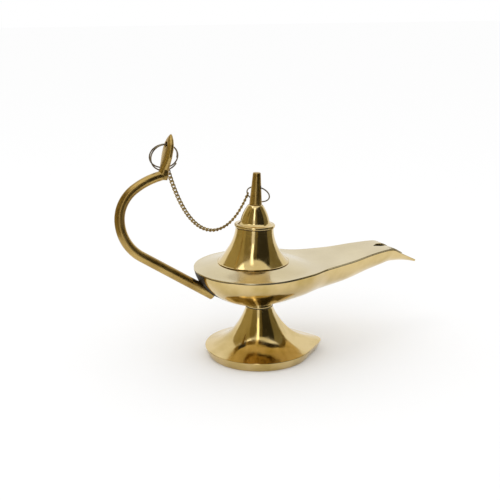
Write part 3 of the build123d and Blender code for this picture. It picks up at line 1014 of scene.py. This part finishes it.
patch_shares = spread(-1, 1, patch_steps)
patch_rows = []
for across in patch_shares:
    row = []
    for down in patch_shares:
        ragged = noise.noise(Vector((across * edge_grain, down * edge_grain, edge_slice)))
        ragged = edge_mean + edge_swing * ragged
        fall = max(0.0, 1 - math.hypot(across, down) / ragged) ** edge_power
        spot = Vector((across * lump_grain_across, down * lump_grain_down, lump_slice))
        lump = lump_mean + lump_swing * noise.noise(spot) + lump_grit * noise.noise(spot * lump_fineness)
        growth = patch_base + patch_height * fall * max(lump, lump_least)
        dip = patch_dips[0] + (patch_dips[1] - patch_dips[0]) * (down + 1) / 2
        row.append(heel_surface(math.pi + across * patch_turn / math.cos(dip), dip, growth))
    patch_rows.append(row)
solder = new_piece("solder_patch", *surface(patch_rows))
skin = solder.modifiers.new("skin", "SOLIDIFY")
skin.thickness = patch_skin * MM
skin.offset = -1.0
applied(solder)
solder.data.shade_smooth()
settle(solder, old_solder, "lamp", "old_solder", "handle_solder")

# %% [markdown]
# ## Rings
#
# Both rings are bent wire. The lid's ring is one loop with its ends pushed together, and the handle's
# is a split ring of two turns that has sprung apart a little. A round wire along a computed path is
# all that is needed, so the path is worked out point by point and a circle is carried along it.

# %% A wire along a path
up = Vector((0.0, 0.0, 1.0))
ring_clearance = 0.1
wire_sides = 12


def wire_along(name, path, radius):
    """A round wire with closed ends, along a path of points."""
    rows = [[path[0]] * wire_sides]
    normal = None
    for index, place in enumerate(path):
        along = heading(path, index)
        normal = along.orthogonal() if normal is None else normal
        normal = (normal - along * normal.dot(along)).normalized()
        beside = along.cross(normal)
        rows.append([
            place + (normal * math.cos(turn) + beside * math.sin(turn)) * radius
            for turn in even_turns(wire_sides)
        ])
    rows.append([path[-1]] * wire_sides)
    return new_piece(name, *surface(rows, close_columns=True))


def seat(hole_radius, wire, aside, ring_radius, half_depth):
    """Distance from a hole's middle down to the top of a ring that rests on the hole's two ends."""
    play = hole_radius - wire / 2 - ring_clearance
    return math.sqrt(play**2 - aside**2) - ring_radius + math.sqrt(ring_radius**2 - half_depth**2)


print("sides of the wire:", wire_sides)

# %% Lid ring
lid_ring_radius = 6.9
lid_ring_wire = 0.8
lid_ring_lean = math.radians(40.0)
ring_cut, ring_gap = 152.0, 2.2
loop_steps = 96
finial_taper = (finial_radius - finial_top_radius) / (finial_height - finial_edge)
finial_half = finial_radius - finial_taper * finial_hole_height
lid_ring_seat = seat(finial_hole_radius, lid_ring_wire, 0.0, lid_ring_radius, finial_half)
lid_ring_top = lean @ ((finial_hole - up * lid_ring_seat) * MM) / MM
hole_line = lean.to_3x3() @ finial_line
lid_ring_down = lean.to_3x3() @ (Quaternion(finial_line, lid_ring_lean) @ -up)
lid_ring_centre = lid_ring_top + lid_ring_down * lid_ring_radius


def lid_ring_point(angle):
    """A point of the lid ring's wire, with the angle in degrees from its top."""
    turn = math.radians(angle)
    return lid_ring_centre + (hole_line * math.sin(turn) - lid_ring_down * math.cos(turn)) * lid_ring_radius


loop_angles = spread(ring_cut + ring_gap, ring_cut + 360 - ring_gap, loop_steps)
loop = [lid_ring_point(angle) for angle in loop_angles]
lid_ring = wire_along("lid_wire_ring", loop, lid_ring_wire / 2)
settle(lid_ring, dark_wire, "lid_ring", "dark_brass_wire", "lid_ring")

# %% Split ring
split_ring_radius = 7.9
split_ring_wire = 0.8
split_ring_gap = 0.1
split_ring_start = 100.0
split_ring_end = 800.0
split_ring_leans = (15.0, 27.0)
split_ring_side = (split_ring_wire + split_ring_gap) / 2
split_ring_swing = math.radians(18.0)
coil_steps = 180
leaf_half = 1.7
split_ring_seat = seat(leaf_hole_radius, split_ring_wire, split_ring_side, split_ring_radius, leaf_half)
split_ring_dip = leaf_half * math.tan(split_ring_swing)
split_ring_top = leaf_hole - up * (split_ring_seat - split_ring_dip)


def split_ring_point(angle):
    """A point of the split ring's wire, with the angle in degrees along it from its first top."""
    turn = math.radians(angle)
    # In the half turn after the first whole one, the wire crosses over from one loop to the other
    share = min(max((angle - 360) / 180, 0), 1)
    tilt = math.radians(split_ring_leans[0] + share * (split_ring_leans[1] - split_ring_leans[0]))
    side = (2 * share - 1) * split_ring_side
    drop = split_ring_radius * (1 - math.cos(turn))
    place = Vector((split_ring_radius * math.sin(turn), side + drop * math.sin(tilt), -drop * math.cos(tilt)))
    return split_ring_top + Quaternion((0.0, 1.0, 0.0), split_ring_swing) @ place


coil_angles = spread(split_ring_start, split_ring_end, coil_steps)
coil = [split_ring_point(angle) for angle in coil_angles]
handle_ring = wire_along("handle_split_ring", coil, split_ring_wire / 2)
settle(handle_ring, dark_wire, "handle_ring", "dark_brass_wire", "handle_ring")

# %% [markdown]
# ## Chain
#
# This is a curb chain: three dozen oval links, each twisted a quarter turn from end to end, so that
# all of them lie the same way round and still thread through each other. It hangs as a catenary, the
# curve of any slack chain, between the two rings. One Geometry Nodes tree makes a run of links: a
# rounded outline is swept by a round wire, twisted, and set on the points of the route from a first
# number to a last one. The links move in runs, so the tree is evaluated once for each run.

# %% The curve of a slack chain
chain_slack = 1.53
link_pitch = 2.3
shape_range, halvings = 100, 100


def catenary(span, drop, length):
    """Shape and low point of a chain that hangs across span, with its far end drop lower."""
    reach = math.sqrt(length**2 - drop**2)
    low, high = span / shape_range, span * shape_range
    for _ in range(halvings):
        shape = (low + high) / 2
        if 2 * shape * math.sinh(span / 2 / shape) > reach:
            low = shape
        else:
            high = shape
    return shape, span / 2 + shape * math.asinh(drop / 2 / shape / math.sinh(span / 2 / shape))


class Hang:
    """A chain's route from start to finish, by the distance along it."""

    def __init__(self, start, finish):
        step = finish - start
        level = Vector((step.x, step.y, 0.0))
        self.start = start
        self.links = round(chain_slack * step.length / link_pitch)
        self.level = level.normalized()
        self.side = up.cross(self.level)
        self.shape, self.low = catenary(level.length, -step.z, self.links * link_pitch)
        self.back = self.shape * math.sinh(-self.low / self.shape)

    def at(self, distance):
        """Place and direction at a distance along the chain."""
        steep = (distance + self.back) / self.shape
        across = self.low + self.shape * math.asinh(steep)
        rise = self.shape * (math.hypot(1, steep) - math.cosh(self.low / self.shape))
        return self.start + self.level * across + up * rise, (self.level + up * steep).normalized()


print("chain length over its straight span:", chain_slack)

# %% Route of the chain
link_facing = math.radians(50.0)
split_ring_hook = 502.0
lid_ring_hook = -98.0
first_hook, last_hook = split_ring_point(split_ring_hook), lid_ring_point(lid_ring_hook)
draft = Hang(first_hook, last_hook)
hang = Hang(
    first_hook - draft.at(0)[1] * (split_ring_wire / 2 + ring_clearance),
    last_hook + draft.at(draft.links * link_pitch)[1] * (lid_ring_wire / 2 + ring_clearance),
)
route = bpy.data.meshes.new("chain route")
seats = [hang.at((number + 0.5) * link_pitch) for number in range(hang.links)]
route.from_pydata([place * MM for place, _ in seats], [], [])
along_values = route.attributes.new("along", "FLOAT_VECTOR", "POINT")
facing_values = route.attributes.new("facing", "FLOAT_VECTOR", "POINT")
for number, (_, along) in enumerate(seats):
    along_values.data[number].vector = along
    facing_values.data[number].vector = Quaternion(along, link_facing) @ hang.side
print("links:", hang.links, "chain length in mm:", round(hang.links * link_pitch, 1))

# %% A Geometry Nodes tree for a run of links: its inputs
link_tree = bpy.data.node_groups.new("chain link", "GeometryNodeTree")
sockets = {}
for name, kind in (
    ("Route", "NodeSocketGeometry"), ("First", "NodeSocketInt"), ("Last", "NodeSocketInt"),
    ("Length", "NodeSocketFloat"), ("Width", "NodeSocketFloat"), ("Wire", "NodeSocketFloat"),
    ("Twist", "NodeSocketFloat"), ("Finish", "NodeSocketMaterial"),
):
    sockets[name] = link_tree.interface.new_socket(name, in_out="INPUT", socket_type=kind).identifier
link_tree.interface.new_socket("Link", in_out="OUTPUT", socket_type="NodeSocketGeometry")


def node(kind, values=None, **settings):
    """A new node of the link's tree, with its settings and the values of its inputs."""
    made = link_tree.nodes.new(kind)
    for setting, value in settings.items():
        setattr(made, setting, value)
    for socket, value in (values or {}).items():
        made.inputs[socket].default_value = value
    return made


def wire_up(*wires):
    """Links nodes: each wire is a node, its output, the next node and its input."""
    for start, output, end, target in wires:
        link_tree.links.new(start.outputs[output], end.inputs[target])


given = node("NodeGroupInput")
print("inputs of the tree:", list(sockets))

# %% Nodes that bend one link
link_corner_share = 0.49
link_corner_steps, link_wire_sides = 7, 10
long_side = node("ShaderNodeMath", operation="SUBTRACT")
short_side = node("ShaderNodeMath", operation="SUBTRACT")
wire_radius = node("ShaderNodeMath", {1: 0.5}, operation="MULTIPLY")
corner_radius = node("ShaderNodeMath", {1: link_corner_share}, operation="MULTIPLY")
outline = node("GeometryNodeCurvePrimitiveQuadrilateral")
rounded = node("GeometryNodeFilletCurve", {"Count": link_corner_steps}, mode="POLY")
round_wire = node("GeometryNodeCurvePrimitiveCircle", {"Resolution": link_wire_sides})
bent = node("GeometryNodeCurveToMesh")
wire_up(
    (given, "Length", long_side, 0), (given, "Wire", long_side, 1),
    (given, "Width", short_side, 0), (given, "Wire", short_side, 1),
    (given, "Wire", wire_radius, 0), (short_side, 0, corner_radius, 0),
    (long_side, 0, outline, "Width"), (short_side, 0, outline, "Height"),
    (outline, "Curve", rounded, "Curve"), (corner_radius, 0, rounded, "Radius"),
    (rounded, "Curve", bent, "Curve"), (wire_radius, 0, round_wire, "Radius"),
    (round_wire, "Curve", bent, "Profile Curve"),
)
print("nodes so far:", len(link_tree.nodes))

# %% Nodes that twist it
place_field = node("GeometryNodeInputPosition")
place_parts = node("ShaderNodeSeparateXYZ")
twist_rate = node("ShaderNodeMath", operation="DIVIDE")
twist_here = node("ShaderNodeMath", operation="MULTIPLY")
twisted_place = node("ShaderNodeVectorRotate", rotation_type="X_AXIS")
twisted = node("GeometryNodeSetPosition")
smooth = node("GeometryNodeSetShadeSmooth")
wire_up(
    (place_field, "Position", place_parts, "Vector"), (place_field, "Position", twisted_place, "Vector"),
    (given, "Twist", twist_rate, 0), (given, "Length", twist_rate, 1),
    (place_parts, "X", twist_here, 0), (twist_rate, 0, twist_here, 1),
    (twist_here, 0, twisted_place, "Angle"), (twisted_place, "Vector", twisted, "Position"),
    (bent, "Mesh", twisted, "Geometry"), (twisted, "Geometry", smooth, "Geometry"),
)
print("nodes so far:", len(link_tree.nodes))

# %% Nodes that set links on the route
along_field = node("GeometryNodeInputNamedAttribute", {"Name": "along"}, data_type="FLOAT_VECTOR")
facing_field = node("GeometryNodeInputNamedAttribute", {"Name": "facing"}, data_type="FLOAT_VECTOR")
turned = node("FunctionNodeAxesToRotation", primary_axis="X", secondary_axis="Z")
number_field = node("GeometryNodeInputIndex")
from_first = node("FunctionNodeCompare", data_type="INT", operation="GREATER_EQUAL")
to_last = node("FunctionNodeCompare", data_type="INT", operation="LESS_EQUAL")
chosen = node("FunctionNodeBooleanMath", operation="AND")
placed = node("GeometryNodeInstanceOnPoints")
realised = node("GeometryNodeRealizeInstances")
finished = node("GeometryNodeSetMaterial")
made_link = node("NodeGroupOutput")
# Inputs 2 and 3 of a Compare node are its whole numbers
wire_up(
    (along_field, "Attribute", turned, "Primary Axis"), (facing_field, "Attribute", turned, "Secondary Axis"),
    (number_field, "Index", from_first, 2), (given, "First", from_first, 3),
    (number_field, "Index", to_last, 2), (given, "Last", to_last, 3),
    (from_first, "Result", chosen, 0), (to_last, "Result", chosen, 1),
    (given, "Route", placed, "Points"), (chosen, 0, placed, "Selection"),
    (smooth, "Geometry", placed, "Instance"), (turned, "Rotation", placed, "Rotation"),
    (placed, "Instances", realised, "Geometry"), (realised, "Geometry", finished, "Geometry"),
    (given, "Finish", finished, "Material"), (finished, "Geometry", made_link, "Link"),
)
print("link tree nodes:", len(link_tree.nodes))

# %% Evaluate the tree once for each run
link_width = 2.75
link_wire = 0.76
link_play = 0.12
link_twist = math.radians(90.0)
link_length = link_pitch + link_play + 2 * link_wire
run_lengths = (12, 7, 5, 4, 3, 3, 3)
first = 0
for number, count in enumerate(run_lengths, start=1):
    run = bpy.data.objects.new(f"chain_part_{number}", route)
    scene.collection.objects.link(run)
    change = run.modifiers.new("links", "NODES")
    change.node_group = link_tree
    for name, value in (
        ("First", first), ("Last", first + count - 1), ("Length", link_length * MM),
        ("Width", link_width * MM), ("Wire", link_wire * MM), ("Twist", link_twist), ("Finish", chain_brass),
    ):
        change[sockets[name]] = value
    applied(run)
    links = [f"chain_link_{link:02d}" for link in range(first + 1, first + count + 1)]
    settle(run, chain_brass, f"chain_run_{number}", "dark_brass_wire", *links)
    first += count
print("links placed:", first)

# %% [markdown]
# ## Studio
#
# Polished metal shows its surroundings more than itself. The lamp stands on a white floor under a
# white sky, which gives the pale deck. Brass that sees only white looks flat, so on the camera's side
# tall painted walls, each with a strip of floor before it, stand round the lamp, tan at the left and
# dark at the right, with a gap for the bright stripe down the neck, the lid and the foot. Only
# reflections show the walls: the camera doesn't see them, and they cast no shadow or tint.

# %% Floor
def painted(name, points, faces, colour):
    """A plain painted surface of the studio."""
    mesh = bpy.data.meshes.new(name)
    mesh.from_pydata(points, [], faces)
    thing = bpy.data.objects.new(name, mesh)
    scene.collection.objects.link(thing)
    paint = bpy.data.materials.new(name)
    paint.use_nodes = True
    shader = paint.node_tree.nodes["Principled BSDF"]
    shader.inputs["Base Color"].default_value = (*colour, 1.0)
    shader.inputs["Roughness"].default_value = 1.0
    shader.inputs["Specular IOR Level"].default_value = 0.0
    mesh.materials.append(paint)
    return thing


floor_reach = 6.0
floor_corners = [(x * floor_reach, y * floor_reach, 0.0) for x, y in ((-1, -1), (1, -1), (1, 1), (-1, 1))]
painted("floor", floor_corners, [(0, 1, 2, 3)], (0.98, 0.98, 0.98))
print("floor side in metres:", 2 * floor_reach)

# %% Walls for the reflections
lamp_middle = Vector((0.0, 0.0, 0.06))
camera_right = Vector((math.cos(camera_turn), math.sin(camera_turn), 0.0))
camera_back = Vector((math.sin(camera_turn), -math.cos(camera_turn), 0.0))


def around(turn, rise, distance):
    """A place round the lamp: turn to the right of the camera and rise above the table, in degrees."""
    turn, rise = math.radians(turn), math.radians(rise)
    level = camera_back * math.cos(turn) + camera_right * math.sin(turn)
    return lamp_middle + (level * math.cos(rise) + up * math.sin(rise)) * distance


wall_near, wall_far, wall_foot, wall_top = 0.20, 1.1, 0.002, 1.5
# First and last turn to the right of the camera, in degrees, and colour
walls = (
    (-125, -52, (0.40, 0.33, 0.15)),
    (-52, -14, (0.25, 0.20, 0.085)),
    (3, 20, (0.16, 0.13, 0.06)),
    (20, 80, (0.040, 0.036, 0.024)),
    (80, 125, (0.22, 0.19, 0.10)),
)
turn_step = 4
for number, (first, last, colour) in enumerate(walls, start=1):
    turns = spread(first, last, math.ceil((last - first) / turn_step))
    rows = []
    for reach, height in ((wall_near, wall_foot), (wall_far, wall_foot), (wall_far, wall_top)):
        places = [around(turn, 0.0, reach) for turn in turns]
        rows.append([(place.x, place.y, height) for place in places])
    wall = painted(f"wall {number}", *surface(rows), colour)
    wall.visible_camera = False
    wall.visible_diffuse = False
    wall.visible_shadow = False
print("walls:", len(walls))

# %% Lights and sky
def soft_light(name, middle, width, height, power):
    """A rectangular light that faces the lamp and isn't seen itself."""
    light = bpy.data.lights.new(name, "AREA")
    light.shape = "RECTANGLE"
    light.size = width
    light.size_y = height
    light.energy = power
    lamp = bpy.data.objects.new(name, light)
    lamp.location = middle
    lamp.rotation_euler = (middle - lamp_middle).to_track_quat("Z", "Y").to_euler()
    scene.collection.objects.link(lamp)
    lamp.visible_camera = False


soft_light("strip light", around(-5, 42, 1.0), width=0.14, height=0.6, power=0.45)
soft_light("top light", around(-60, 62, 1.1), width=0.3, height=0.3, power=0.4)

world = bpy.data.worlds.new("white studio")
world.use_nodes = True
sky = world.node_tree.nodes["Background"]
sky.inputs["Color"].default_value = (1.0, 1.0, 1.0, 1.0)
sky.inputs["Strength"].default_value = 1.0
scene.world = world
print("lights:", [light.name for light in bpy.data.lights])
